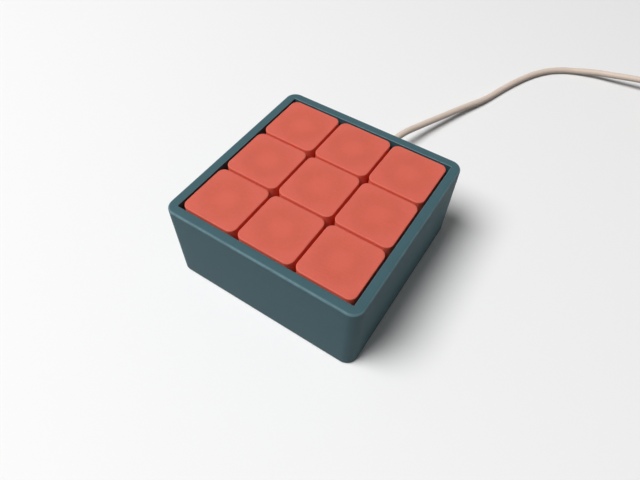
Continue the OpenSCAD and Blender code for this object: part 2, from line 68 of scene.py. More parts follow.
# Sizes are in millimetres and become metres where a point is made; only the lamp's are in metres.
# Angles are in degrees.
MM = 0.001
COLUMNS = ("left", "centre", "right")
ROWS = ("front", "middle", "rear")
PITCH = 19.05
KEYS = [
    (f"{row}_{column}", (i - 1) * PITCH, (j - 1) * PITCH)
    for j, row in enumerate(ROWS)
    for i, column in enumerate(COLUMNS)
]


def mm(x, y, z):
    """A point in metres from millimetres."""
    return Vector((x, y, z)) * MM


def node_box(node):
    """The lowest and the highest corner of a CAD node, in millimetres."""
    low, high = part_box(node)
    return Vector(low) / MM, Vector(high) / MM


def collection_link(obj):
    """Puts an object in the scene and gives it back."""
    bpy.context.scene.collection.objects.link(obj)
    return obj


SMOOTH_ANGLE = 32


def mesh_object(name, verts, faces, smooth_angle=SMOOTH_ANGLE):
    """An object from points in millimetres, smooth except across edges sharper than the angle."""
    mesh = bpy.data.meshes.new(name)
    mesh.from_pydata([Vector(v) * MM for v in verts], [], faces)
    mesh.validate()
    finish_mesh(mesh, smooth_angle)
    return collection_link(bpy.data.objects.new(name, mesh))


def finish_mesh(mesh, smooth_angle=SMOOTH_ANGLE):
    """Turns the faces outwards and shades them smooth up to the angle."""
    work = bmesh.new()
    work.from_mesh(mesh)
    bmesh.ops.recalc_face_normals(work, faces=work.faces)
    work.to_mesh(mesh)
    work.free()
    mesh.polygons.foreach_set("use_smooth", [True] * len(mesh.polygons))
    mesh.set_sharp_from_angle(angle=math.radians(smooth_angle))
    mesh.update()


# Camera, placed as the photograph was taken

IMAGE_WIDTH_PX = 640
FOCAL_PX = 505.4
SENSOR_MM = 36
VIEW_AZIMUTH = 31.59
VIEW_ELEVATION = 53.2
VIEW_ROLL = 1.87
VIEW_DISTANCE = 135.46
VIEW_TARGET = (10.91, -16.61, 28.5)
CLIP_NEAR, CLIP_FAR = 5, 20000


def make_camera():
    """A camera that looks at the target from the given angles, turned about its own axis."""
    azimuth, elevation, roll = (
        math.radians(a) for a in (VIEW_AZIMUTH, VIEW_ELEVATION, VIEW_ROLL)
    )
    back = Vector(
        (
            math.sin(azimuth) * math.cos(elevation),
            -math.cos(azimuth) * math.cos(elevation),
            math.sin(elevation),
        )
    )
    right = (-back).cross(Vector((0, 0, 1))).normalized()
    up = right.cross(-back)
    turned_right = right * math.cos(roll) + up * math.sin(roll)
    turned_up = up * math.cos(roll) - right * math.sin(roll)
    data = bpy.data.cameras.new("camera")
    data.sensor_width = SENSOR_MM
    data.lens = FOCAL_PX * SENSOR_MM / IMAGE_WIDTH_PX
    data.clip_start, data.clip_end = CLIP_NEAR * MM, CLIP_FAR * MM
    camera = collection_link(bpy.data.objects.new("camera", data))
    axes = Matrix((turned_right, turned_up, back)).transposed().to_4x4()
    axes.translation = mm(*VIEW_TARGET) + back * VIEW_DISTANCE * MM
    camera.matrix_world = axes
    bpy.context.scene.camera = camera


make_camera()


# The cord: the same route as its solids in the CAD model

CORD_D = 2.6
CORD_INSET = 0.015
CORD_ROUNDNESS = 5
CORD_EXIT = (0, 50.875, 6.7)
COIL_STEP = 3.2
COIL_LOW_Z = 2.2
COIL_HIGH_Z = COIL_LOW_Z + COIL_STEP
COIL_START = (103, 152, COIL_HIGH_Z)
COIL_TURNS = 8.3
COIL_MEAN_R = 15.6
COIL_IN_R = COIL_MEAN_R - COIL_TURNS / 4 * COIL_STEP
COIL_OUT_R = COIL_IN_R + COIL_TURNS / 2 * COIL_STEP
COIL_CENTRE = (COIL_START[0] + CORD_D, COIL_START[1] - COIL_OUT_R)
COIL_END_ANGLE = 90 - 360 * COIL_TURNS
COIL_REVERSAL = 0.25
TAIL_LENGTH = 12
PLUG_AXIS_Z = 3.9
LEAD_STEPS, TURN_STEPS, TAIL_STEPS = 6, 48, 12
ROUTE = [
    CORD_EXIT,
    (0, 54, 6.7),
    (1.4, 60, 6.3),
    (3.8, 67.6, 5.1),
    (8, 79, 3.7),
    (12.6, 90.6, 2.6),
    (16.8, 100.2, 1.7),
    (19, 106.4, 1.35),
    (21.8, 115.2, 1.3),
    (25, 123.6, 1.3),
    (28.7, 131.3, 1.3),
    (33, 137.6, 1.3),
    (38, 142.2, 1.3),
    (43.6, 145.2, 1.5),
    (51.8, 147.4, 2.6),
    (60.4, 148.4, 3.8),
    (69.8, 149.6, 4.8),
    (80, 151, 5.2),
    (92, 152, COIL_HIGH_Z),
    COIL_START,
]


def smooth_route(points, steps):
    """A Catmull-Rom curve through the points."""
    p = [Vector(q) for q in points]
    out = []
    for i in range(len(p) - 1):
        a, b, c, d = p[max(i - 1, 0)], p[i], p[i + 1], p[min(i + 2, len(p) - 1)]
        for j in range(steps):
            t = j / steps
            out.append(
                b
                + (c - a) * (t / 2)
                + (2 * a - 5 * b + 4 * c - d) * (t * t / 2)
                + (3 * b - a - 3 * c + d) * (t**3 / 2)
            )
    return out + [p[-1]]


def coil_point(u):
    """u counts turns from the middle of the coil, where it reverses and changes layer."""
    turns_out, layer = abs(u), float(u < 0)
    if turns_out < COIL_REVERSAL:
        turns_out = (u * u / COIL_REVERSAL + COIL_REVERSAL) / 2
        layer = (1 - math.sin(math.pi / 2 * u / COIL_REVERSAL)) / 2
    radius = COIL_IN_R + COIL_STEP * turns_out
    angle = math.radians(90 - 360 * (u + COIL_TURNS / 2))
    return Vector(
        (
            COIL_CENTRE[0] + radius * math.cos(angle),
            COIL_CENTRE[1] + radius * math.sin(angle),
            COIL_LOW_Z + COIL_STEP * layer,
        )
    )


def tail_way():
    """The direction in which the coil's outer end runs off towards the plug."""
    angle = math.radians(COIL_END_ANGLE)
    return Vector((math.sin(angle), -math.cos(angle), 0))


def cord_points():
    """The whole cord from its exit to just inside the plug: lead, coil and tail."""
    lead = smooth_route(ROUTE, LEAD_STEPS)
    steps = round(COIL_TURNS * TURN_STEPS)
    loops = [coil_point((i / steps - 0.5) * COIL_TURNS) for i in range(steps + 1)]
    tail = []
    for i in range(1, TAIL_STEPS + 1):
        t = i / TAIL_STEPS
        rise = (PLUG_AXIS_Z - COIL_LOW_Z) * t * t * (3 - 2 * t)
        tail.append(loops[-1] + tail_way() * (TAIL_LENGTH * t) + Vector((0, 0, rise)))
    tail.append(tail[-1] + tail_way() * CORD_D)
    return lead + loops + tail


def make_cord(points):
    """A round curve along the points, a hair thinner than the solid so as to lie inside it."""
    data = bpy.data.curves.new("cord", "CURVE")
    data.dimensions = "3D"
    data.bevel_depth = (CORD_D / 2 - CORD_INSET) * MM
    data.bevel_resolution = CORD_ROUNDNESS
    data.use_fill_caps = True
    spline = data.splines.new("POLY")
    spline.points.add(len(points) - 1)
    for spot, p in zip(spline.points, points):
        spot.co = (*(p * MM), 1)
    spline.use_smooth = True
    return collection_link(bpy.data.objects.new("cord", data))


CORD_POINTS = cord_points()
cord = make_cord(CORD_POINTS)


# Outlines and parts; a part is a list of points and a list of faces

def arc(steps, start, end):
    """Points of a unit circle from one angle to another."""
    return [
        (
            math.cos(math.radians(start + (end - start) * i / steps)),
            math.sin(math.radians(start + (end - start) * i / steps)),
        )
        for i in range(steps + 1)
    ]


def turned(x, y, angle):
    """A point turned about the Z axis."""
    angle = math.radians(angle)
    return (
        x * math.cos(angle) - y * math.sin(angle),
        x * math.sin(angle) + y * math.cos(angle),
    )


CORNER_STEPS, SIDE_STEPS = 10, 12


def rounded_outline(half, radius):
    """Points round a square with rounded corners, the same number whatever the radius."""
    flat = half - radius
    corner = [(flat + radius * c, flat + radius * s) for c, s in arc(CORNER_STEPS, 0, 90)]
    side = [(flat - 2 * flat * i / SIDE_STEPS, half) for i in range(1, SIDE_STEPS)]
    return [
        turned(x, y, 90 * quarter)
        for quarter in range(4)
        for x, y in corner + side
    ]


def oval_outline(w, h, r, steps=7):
    """Points round a rectangle with rounded corners."""
    points = []
    for sx, sy, start in ((1, 1, 0), (-1, 1, 90), (-1, -1, 180), (1, -1, 270)):
        for c, s in arc(steps, start, start + 90):
            points.append((sx * (w / 2 - r) + r * c, sy * (h / 2 - r) + r * s))
    return points


def bridge(faces, a, b, count):
    """Joins two rings of points, which start at a and at b, by quads."""
    for i in range(count):
        j = (i + 1) % count
        faces.append((a + i, a + j, b + j, b + i))


def stacked_shell(levels):
    """Rings of equal count bridged in order: (half width, corner radius, height) each."""
    verts, faces, starts = [], [], []
    for half, radius, z in levels:
        starts.append(len(verts))
        verts += [(x, y, z) for x, y in rounded_outline(half, radius)]
    count = len(verts) // len(levels)
    for a, b in zip(starts, starts[1:]):
        bridge(faces, a, b, count)
    return verts, faces, starts, count


def closed_stack(rings):
    """A solid from rings of equal count, bridged in order and closed at both ends."""
    count = len(rings[0])
    verts, faces = [point for ring in rings for point in ring], []
    for k in range(len(rings) - 1):
        bridge(faces, k * count, (k + 1) * count, count)
    faces.append(tuple(range(count)))
    faces.append(tuple(range(len(verts) - 1, len(verts) - 1 - count, -1)))
    return verts, faces


def prism(near, far):
    """A solid between two rings of equal count."""
    count = len(near)
    faces = [tuple(range(count)), tuple(range(2 * count - 1, count - 1, -1))]
    bridge(faces, 0, count, count)
    return near + far, faces


def join_parts(parts):
    """Several parts as one list of points and one of faces."""
    verts, faces = [], []
    for part_verts, part_faces in parts:
        shift = len(verts)
        verts += part_verts
        faces += [tuple(i + shift for i in f) for f in part_faces]
    return verts, faces


def shifted(part, x, y, z):
    """The part moved by the given lengths."""
    return [(px + x, py + y, pz + z) for px, py, pz in part[0]], part[1]


def placed(part, origin, along):
    """Moves a part so that its Z runs along a level direction and its Y stays upright."""
    z = Vector(along).normalized()
    x = Vector((0, 0, 1)).cross(z).normalized()
    y = z.cross(x)
    verts = [Vector(origin) + x * v[0] + y * v[1] + z * v[2] for v in part[0]]
    return [tuple(v) for v in verts], part[1]


def carve(obj, part, operation):
    """Adds a closed part to an object, or cuts it away, and keeps the result as the mesh."""
    tool = mesh_object("tool", *part)
    change = obj.modifiers.new("change", "BOOLEAN")
    change.operation, change.solver, change.object = operation, "EXACT", tool
    graph = bpy.context.evaluated_depsgraph_get()
    mesh = bpy.data.meshes.new_from_object(obj.evaluated_get(graph))
    obj.modifiers.clear()
    obj.data = mesh
    finish_mesh(mesh)
    bpy.data.objects.remove(tool)


# Keycaps

CAP_HALF = 9.1
CAP_H = 7.5
CAP_CORNER_R = 2.3
CAP_EDGE_R = 0.32
CAP_EDGE_STEPS = 5
CAP_WALL = 1.4
CAP_ROOF = 1.5
CAP_BEVEL = 0.15
CAP_SMOOTH_ANGLE = 40
DISH_R = 7.5
DISH_DEPTH = 0.08
DISH_RINGS = 24
SQUARE_TO_ROUND = (9.0, 8.6, 8.2, 7.9, DISH_R)
DISC_R = 3.4
DISC_RISE = 0.012
DISC_EDGE_W = 0.2
POST_R = 2.75
POST_Z = 0.5
POST_SIDES = 48
SOCKET_DEPTH = 3.8
CROSS_HALF = 2.05
CROSS_ARM = 0.65
RIB_HALF = 0.5
RIB_DEPTH = 1.15
RIB_BEVEL = 0.12
ROOF_SINK = 0.2
POST_SINK = 0.2
WALL_SINK = 0.1


def dish_height(r):
    """The dish's surface against the cap's top, with the faint step of a printed terrace."""
    if r >= DISH_R:
        return 0.0
    bowl = DISH_DEPTH * (1 - (r / DISH_R) ** 2)
    step = 1 / (1 + math.exp((r - DISC_R) / DISC_EDGE_W))
    return -bowl + DISC_RISE * step


def cap_shell(top):
    """The cap as one closed skin: dished top, rounded edge, sides, skirt and cavity."""
    levels = []
    for c, s in reversed(arc(CAP_EDGE_STEPS, 0, 90)):
        levels.append(
            (
                CAP_HALF - CAP_EDGE_R * (1 - c),
                CAP_CORNER_R - CAP_EDGE_R * (1 - c),
                top - CAP_EDGE_R * (1 - s),
            )
        )
    inner, inner_r = CAP_HALF - CAP_WALL, CAP_CORNER_R - CAP_WALL
    levels += [
        (CAP_HALF, CAP_CORNER_R, top - CAP_H + CAP_BEVEL),
        (CAP_HALF - CAP_BEVEL, CAP_CORNER_R - CAP_BEVEL, top - CAP_H),
        (inner + CAP_BEVEL, inner_r + CAP_BEVEL, top - CAP_H),
        (inner, inner_r, top - CAP_H + CAP_BEVEL),
        (inner, inner_r, top - CAP_ROOF - CAP_BEVEL),
        (inner - CAP_BEVEL, inner_r - CAP_BEVEL, top - CAP_ROOF),
    ]
    verts, faces, starts, count = stacked_shell(levels)
    edge = verts[:count]
    last = 0
    radii = [*SQUARE_TO_ROUND, *(DISH_R * (1 - i / DISH_RINGS) for i in range(1, DISH_RINGS))]
    for step, radius in enumerate(radii):
        share = min(1.0, (step + 1) / len(SQUARE_TO_ROUND))
        start = len(verts)
        for x, y, _ in edge:
            angle = math.atan2(y, x)
            cx, cy = radius * math.cos(angle), radius * math.sin(angle)
            px, py = x + (cx - x) * share, y + (cy - y) * share
            verts.append((px, py, top + dish_height(math.hypot(px, py))))
        bridge(faces, last, start, count)
        last = start
    verts.append((0, 0, top + dish_height(0)))
    faces += [(last + i, last + (i + 1) % count, len(verts) - 1) for i in range(count)]
    roof = starts[-1]
    verts.append((0, 0, top - CAP_ROOF))
    faces += [(roof + i, roof + (i + 1) % count, len(verts) - 1) for i in range(count)]
    return verts, faces


def cross_outline():
    """The cross of the socket that takes the switch stem."""
    a, b = CROSS_HALF, CROSS_ARM
    return [
        turned(x, y, 90 * quarter)
        for quarter in range(4)
        for x, y in ((a, -b), (a, b), (b, b))
    ]


def cap_post(top):
    """The round post under the roof with its cross-shaped socket."""
    low, high = top - CAP_H + POST_Z, top - CAP_ROOF + ROOF_SINK
    work = bmesh.new()
    circle = arc(POST_SIDES, 0, 360)[:-1]
    rim = [work.verts.new((POST_R * c, POST_R * s, low)) for c, s in circle]
    cross = [work.verts.new((x, y, low)) for x, y in cross_outline()]
    edges = [work.edges.new((r[i - 1], r[i])) for r in (rim, cross) for i in range(len(r))]
    bmesh.ops.triangle_fill(work, use_beauty=True, edges=edges)
    for loop, height in ((rim, high), (cross, low + SOCKET_DEPTH)):
        upper = [work.verts.new((v.co.x, v.co.y, height)) for v in loop]
        for i in range(len(loop)):
            work.faces.new((loop[i - 1], loop[i], upper[i], upper[i - 1]))
        work.faces.new(upper)
    work.verts.index_update()
    verts = [tuple(v.co) for v in work.verts]
    faces = [tuple(v.index for v in f.verts) for f in work.faces]
    work.free()
    return verts, faces


def cap_ribs(top):
    """Four ribs under the roof, from the post out to the walls, their lower edges eased."""
    ends = POST_R - POST_SINK, CAP_HALF - CAP_WALL + WALL_SINK
    low, high = top - CAP_ROOF - RIB_DEPTH, top - CAP_ROOF + ROOF_SINK / 2
    section = [
        (-RIB_HALF, high),
        (-RIB_HALF, low + RIB_BEVEL),
        (-RIB_HALF + RIB_BEVEL, low),
        (RIB_HALF - RIB_BEVEL, low),
        (RIB_HALF, low + RIB_BEVEL),
        (RIB_HALF, high),
    ]
    return [
        prism(*([(r * dx - t * dy, r * dy + t * dx, z) for t, z in section] for r in ends))
        for dx, dy in ((1, 0), (0, 1), (-1, 0), (0, -1))
    ]


def make_cap_form(top):
    """One cap round the Z axis, its post and ribs grown into the roof and the walls."""
    form = mesh_object("cap_form", *cap_shell(top))
    for part in (cap_post(top), join_parts(cap_ribs(top))):
        carve(form, part, "UNION")
    return form


def make_cap(form, key, x, y):
    """The cap of one key, as a copy of the form moved to its place."""
    mesh = form.data.copy()
    mesh.transform(Matrix.Translation(mm(x, y, 0)))
    finish_mesh(mesh, CAP_SMOOTH_ANGLE)
    return collection_link(bpy.data.objects.new(f"cap_{key}", mesh))


# Key springs

SPRING_R = 1.85
WIRE_R = 0.15
SPRING_TURNS = 8
SPRING_RINGS = 24
WIRE_SIDES = 8
CLOSED_PITCH = 0.28
CLOSED_TURNS = 0.8
OPENING_TURNS = 0.4
SPRING_SMOOTH_ANGLE = 60


def spring_part(height):
    """A coil spring standing at zero on the Z axis, its first and last turns closed up."""
    climb = [0.0]
    for i in range(SPRING_TURNS * SPRING_RINGS):
        turn = (i + 0.5) / SPRING_RINGS
        from_end = min(turn, SPRING_TURNS - turn)
        opened = min(max((from_end - CLOSED_TURNS) / OPENING_TURNS, 0), 1)
        climb.append(climb[-1] + CLOSED_PITCH + (1 - CLOSED_PITCH) * opened)
    rise = (height - 2 * WIRE_R) / climb[-1]
    rings = []
    for i, share in enumerate(climb):
        turn = 2 * math.pi * i / SPRING_RINGS
        ring = []
        for c, s in arc(WIRE_SIDES, 0, 360)[:-1]:
            radius = SPRING_R + WIRE_R * c
            z = WIRE_R + rise * share + WIRE_R * s
            ring.append((radius * math.cos(turn), radius * math.sin(turn), z))
        rings.append(ring)
    return closed_stack(rings)


def make_spring(key, x, y):
    """The spring of one switch, coiled to the height of its part in the CAD model."""
    low, high = node_box(f"spring_{key}")
    height = high.z - low.z
    part = shifted(spring_part(height), x, y, low.z)
    spring = mesh_object(f"key_spring_{key}", *part, SPRING_SMOOTH_ANGLE)
    finish_with(spring, "spring_steel")
    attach(spring, "root")
    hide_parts(f"spring_{key}")
    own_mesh(spring)


# Case

CASE_CORNER_R = 3.6
RIM_ROUND = 0.8
RIM_STEPS = 8
BASE_BEVEL = 0.25
CASE_FOOT_Z = 0.3
WELL_HALF = 28.825
WELL_CORNER_R = 0.25
WELL_BEVEL = 0.12
LEDGE_W = 2
LEDGE_H = 2
LIP_W = 1.5
LIP_H = 1.5
PLATE_Z = 13.4
COVER_TOP_Z = 3.2
SLOT_W = 12.2
SLOT_H = 7.2
SLOT_R = 2.4
SLOT_Z = 6.7
SLOT_STEPS = 8
CUT_PAST = 1


def make_case():
    """The case as one closed skin, up its outside and down its well with ledge and lip."""
    half = node_box("case")[1].x
    top, base = CAD_BOX[1][2] / MM, CASE_FOOT_Z
    levels = [
        (half - BASE_BEVEL, CASE_CORNER_R - BASE_BEVEL, base),
        (half, CASE_CORNER_R, base + BASE_BEVEL),
        (half, CASE_CORNER_R, top - RIM_ROUND),
    ]
    for c, s in arc(RIM_STEPS, 0, 90)[1:]:
        levels.append(
            (
                half - RIM_ROUND * (1 - c),
                CASE_CORNER_R - RIM_ROUND * (1 - c),
                top - RIM_ROUND * (1 - s),
            )
        )
    walls = [
        (WELL_HALF, top - WELL_BEVEL),
        (WELL_HALF, PLATE_Z),
        (WELL_HALF - LEDGE_W, PLATE_Z),
        (WELL_HALF - LEDGE_W, PLATE_Z - LEDGE_H),
        (WELL_HALF, PLATE_Z - LEDGE_H),
        (WELL_HALF, COVER_TOP_Z + LIP_H),
        (WELL_HALF - LIP_W, COVER_TOP_Z + LIP_H),
        (WELL_HALF - LIP_W, COVER_TOP_Z),
        (WELL_HALF, COVER_TOP_Z),
        (WELL_HALF, base),
    ]
    levels.append((WELL_HALF + WELL_BEVEL, WELL_CORNER_R + WELL_BEVEL, top))
    levels += [(width, WELL_CORNER_R, z) for width, z in walls]
    verts, faces, starts, count = stacked_shell(levels)
    bridge(faces, starts[-1], 0, count)
    case = mesh_object("case_shell", verts, faces)
    cut_slot(case, half)
    return case


def cut_slot(case, half):
    """Opens the rear wall for the connector."""
    outline = oval_outline(SLOT_W, SLOT_H, SLOT_R, SLOT_STEPS)
    ends = WELL_HALF - LIP_W - CUT_PAST, half + CUT_PAST
    rings = ([(x, y, SLOT_Z + z) for x, z in outline] for y in ends)
    carve(case, prism(*rings), "DIFFERENCE")


# Mouldings on the cord: grips, boots and metal shells

GRIP_RIB_START = 7
GRIP_RIB_PITCH = 1.8
GROOVE_W = 0.6
GROOVE_DEPTH = 0.4
GROOVE_EASE = 0.06
GROOVE_SLOPE = 0.04
GRIP_EDGE_STEPS = 4
LEAST_R = 0.01
LATHE_SIDES = 40
BOOT_SINK = 0.4
BOOT_GROOVE_DEPTH = 0.42
BOOT_GROOVE = ((0, 0), (0.12, 0.8), (0.3, 1), (0.7, 1), (0.88, 0.8), (1, 0))
BOOT_END = ((0, 0.3), (0.15, 0.05), (0.3, 0))
TUBE_SINK = 0.3
TUBE_BEVEL = 0.1


def grip_part(w, h, length, r, edge=0.7, ribs=0):
    """A moulded grip along Z from zero, rounded at both ends, with finger ribs cut in its sides."""
    profile = [(edge * (1 - s), edge * (1 - c)) for c, s in arc(GRIP_EDGE_STEPS, 0, 90)]
    levels = list(profile)
    for k in range(ribs):
        z = GRIP_RIB_START + k * GRIP_RIB_PITCH
        levels += [
            (0, z - GROOVE_EASE),
            (GROOVE_EASE, z),
            (GROOVE_DEPTH, z + GROOVE_SLOPE),
            (GROOVE_DEPTH, z + GROOVE_W - GROOVE_SLOPE),
            (GROOVE_EASE, z + GROOVE_W),
            (0, z + GROOVE_W + GROOVE_EASE),
        ]
    levels += [(inset, length - z) for inset, z in reversed(profile)]
    return oval_stack((w - 2 * inset, h - 2 * inset, r - inset, z) for inset, z in levels)


def oval_stack(levels):
    """A solid along Z from (width, height, corner radius, z) levels."""
    return closed_stack(
        [[(x, y, z) for x, y in oval_outline(w, h, max(r, LEAST_R))] for w, h, r, z in levels]
    )


def lathe_part(profile):
    """A solid of revolution about Z from (radius, height) points; it ends on flat discs."""
    circle = arc(LATHE_SIDES, 0, 360)[:-1]
    return closed_stack([[(r * c, r * s, z) for c, s in circle] for r, z in profile])


def boot_part(length, r_wide, r_thin, grooves=4):
    """A tapered strain relief along Z, wide end at zero, cut by rounded grooves."""
    profile = [(r_wide, -BOOT_SINK), (r_wide, 0)]
    groove = length / (grooves * 2 + 1)
    for k in range(grooves):
        z = groove * (2 * k + 1)
        for share, sink in BOOT_GROOVE:
            height = z + groove * share
            radius = r_wide + (r_thin - r_wide) * height / length
            profile.append((radius - BOOT_GROOVE_DEPTH * sink, height))
    return lathe_part(profile + [(r_thin - inset, length - back) for inset, back in BOOT_END])


def tube_part(w, h, r, wall, length):
    """A hollow metal shell along Z, sunk a little below zero, open at its far end."""
    inner_w, inner_h, inner_r = w - 2 * wall, h - 2 * wall, max(r - wall, TUBE_BEVEL)
    bevel = TUBE_BEVEL
    return oval_stack(
        [
            (w, h, r, -TUBE_SINK),
            (w, h, r, length - 1.5 * bevel),
            (w - 2 * bevel, h - 2 * bevel, r - bevel, length),
            (inner_w + bevel, inner_h + bevel, inner_r, length),
            (inner_w, inner_h, inner_r, length - bevel),
            (inner_w, inner_h, inner_r, 0),
        ]
    )


def box_part(x0, x1, y0, y1, z0, z1):
    """A box between two values on each axis."""
    verts = [(x, y, z) for z in (z0, z1) for y in (y0, y1) for x in (x0, x1)]
    faces = [(0, 2, 3, 1), (4, 5, 7, 6), (0, 1, 5, 4), (2, 6, 7, 3), (0, 4, 6, 2), (1, 3, 7, 5)]
    return verts, faces


GRIP_W, GRIP_H, GRIP_L, GRIP_R = 11.4, 6.4, 15, 2
BOOT_L, BOOT_R, BOOT_TIP_R, BOOT_GROOVES = 7, 2.6, 1.7, 3
TIP_W, TIP_H, TIP_L, TIP_WALL = 8.2, 2.4, 6, 0.3
TIP_CORNER_R = TIP_H / 2 - 0.05
CONNECTOR_Y = CORD_EXIT[1] - BOOT_L - GRIP_L


def make_connector():
    """The grip with its boot outside the case, and the metal tip that reaches into the socket."""
    start = (0, CONNECTOR_Y, CORD_EXIT[2])
    end = (0, CONNECTOR_Y + GRIP_L, CORD_EXIT[2])
    rear = (0, 1, 0)
    moulding = join_parts(
        [
            placed(grip_part(GRIP_W, GRIP_H, GRIP_L, GRIP_R), start, rear),
            placed(boot_part(BOOT_L, BOOT_R, BOOT_TIP_R, BOOT_GROOVES), end, rear),
        ]
    )
    tip = placed(tube_part(TIP_W, TIP_H, TIP_CORNER_R, TIP_WALL, TIP_L), start, (0, -1, 0))
    return mesh_object("connector_grip", *moulding), mesh_object("connector_tip", *tip)


PLUG_GRIP_W, PLUG_GRIP_H, PLUG_GRIP_L, PLUG_RIBS = 15, 7.8, 24, 6
PLUG_BOOT_L = 9
SHELL_W, SHELL_H, SHELL_L, SHELL_WALL, SHELL_CORNER_R = 12, 4.5, 12, 0.4, 0.5
TONGUE_T, TONGUE_R, TONGUE_EDGE, TONGUE_GAP = 1.9, 0.2, 0.18, 0.2
TONGUE_SHORT = 0.6
PAD_W, PAD_T, PAD_L, PAD_R, PAD_EDGE = 1, 0.2, 7, 0.09, 0.08
PAD_SINK, PAD_BACK = 0.02, 8
PAD_XS = (-3.5, -1.1, 1.1, 3.5)
WINDOW, WINDOW_X, WINDOW_BACK, WINDOW_CUT = 2, 2.4, 5, 0.7


def make_plug():
    """The plug on the cord's far end: grip with boot, metal shell, tongue and contact pads."""
    start, way = CORD_POINTS[-1], tail_way()
    grip_start = start + way * PLUG_BOOT_L
    face = start + way * (PLUG_BOOT_L + PLUG_GRIP_L)
    grip_form = grip_part(PLUG_GRIP_W, PLUG_GRIP_H, PLUG_GRIP_L, GRIP_R, ribs=PLUG_RIBS)
    boot = placed(boot_part(PLUG_BOOT_L, BOOT_R, BOOT_TIP_R), grip_start, -way)
    moulding = join_parts([placed(grip_form, grip_start, way), boot])
    grip = mesh_object("plug_grip", *moulding)
    shell_form = tube_part(SHELL_W, SHELL_H, SHELL_CORNER_R, SHELL_WALL, SHELL_L)
    shell = mesh_object("plug_shell", *placed(shell_form, face, way))
    cut_windows(shell, face, way)
    tongue_w, floor_y = SHELL_W - 2 * SHELL_WALL, SHELL_WALL - SHELL_H / 2
    tongue_form = grip_part(tongue_w, TONGUE_T, SHELL_L - TONGUE_SHORT, TONGUE_R, TONGUE_EDGE)
    tongue_form = shifted(tongue_form, 0, floor_y + TONGUE_T / 2, TONGUE_GAP)
    tongue = mesh_object("plug_tongue", *placed(tongue_form, face, way))
    pad = grip_part(PAD_W, PAD_T, PAD_L, PAD_R, PAD_EDGE)
    pad_y = floor_y + TONGUE_T - PAD_SINK
    pads = join_parts([shifted(pad, x, pad_y, SHELL_L - PAD_BACK) for x in PAD_XS])
    contacts = mesh_object("plug_contacts", *placed(pads, face, way))
    return grip, shell, tongue, contacts


def cut_windows(shell, face, way):
    """Cuts the two square holes in each broad side of the plug's shell."""
    z, half = SHELL_L - WINDOW_BACK, WINDOW / 2
    for x in (-WINDOW_X, WINDOW_X):
        for y in (-SHELL_H / 2, SHELL_H / 2):
            part = box_part(
                x - half, x + half, y - WINDOW_CUT, y + WINDOW_CUT, z - half, z + half
            )
            carve(shell, placed(part, face, way), "DIFFERENCE")


TIE_T, TIE_W = 0.6, 6
TIE_GAP = 0.3
TIE_CORNER_STEPS = 6
TIE_TURN = 0.5


def make_tie():
    """A flat strap round the bundle on one side of the coil, standing on the table."""
    near, far = tie_reach()
    top = COIL_HIGH_Z + CORD_D / 2 + TIE_GAP
    outer = oval_outline(far - near + 2 * TIE_T, top + TIE_T, 2 * TIE_T, TIE_CORNER_STEPS)
    inner = oval_outline(far - near, top - TIE_T, TIE_T, TIE_CORNER_STEPS)
    count = len(outer)
    middle_x, middle_z = (near + far) / 2, (top + TIE_T) / 2
    angle = 90 - 360 * (TIE_TURN + COIL_TURNS / 2)
    verts, faces = [], []
    for side in (-TIE_W / 2, TIE_W / 2):
        for ring in (outer, inner):
            for a, b in ring:
                x, y = turned(middle_x + a, side, angle)
                verts.append((COIL_CENTRE[0] + x, COIL_CENTRE[1] + y, middle_z + b))
    for a, b in ((0, 1), (2, 3), (0, 2), (1, 3)):
        bridge(faces, a * count, b * count, count)
    return mesh_object("tie_strap", verts, faces)


def tie_reach():
    """Distances from the coil's centre between which the strap's inside runs."""
    r_in = COIL_IN_R + COIL_STEP * TIE_TURN
    turns_across = math.floor(COIL_TURNS / 2 - TIE_TURN)
    drift = COIL_STEP * math.degrees(math.asin(TIE_W / 2 / r_in)) / 360
    gap = TIE_GAP + drift
    near = math.sqrt(r_in**2 - (TIE_W / 2) ** 2) - CORD_D / 2 - gap
    far = r_in + turns_across * COIL_STEP + CORD_D / 2 + gap
    return near, far


# Materials: colours are linear, and places, sizes and depths in millimetres

IOR = 1.46
LEVEL_FROM, LEVEL_TO = 0.5, 0.9
EDGE_BEGINS, EDGE_ENDS = (0.08, 0.4), (0.8, 0.99)


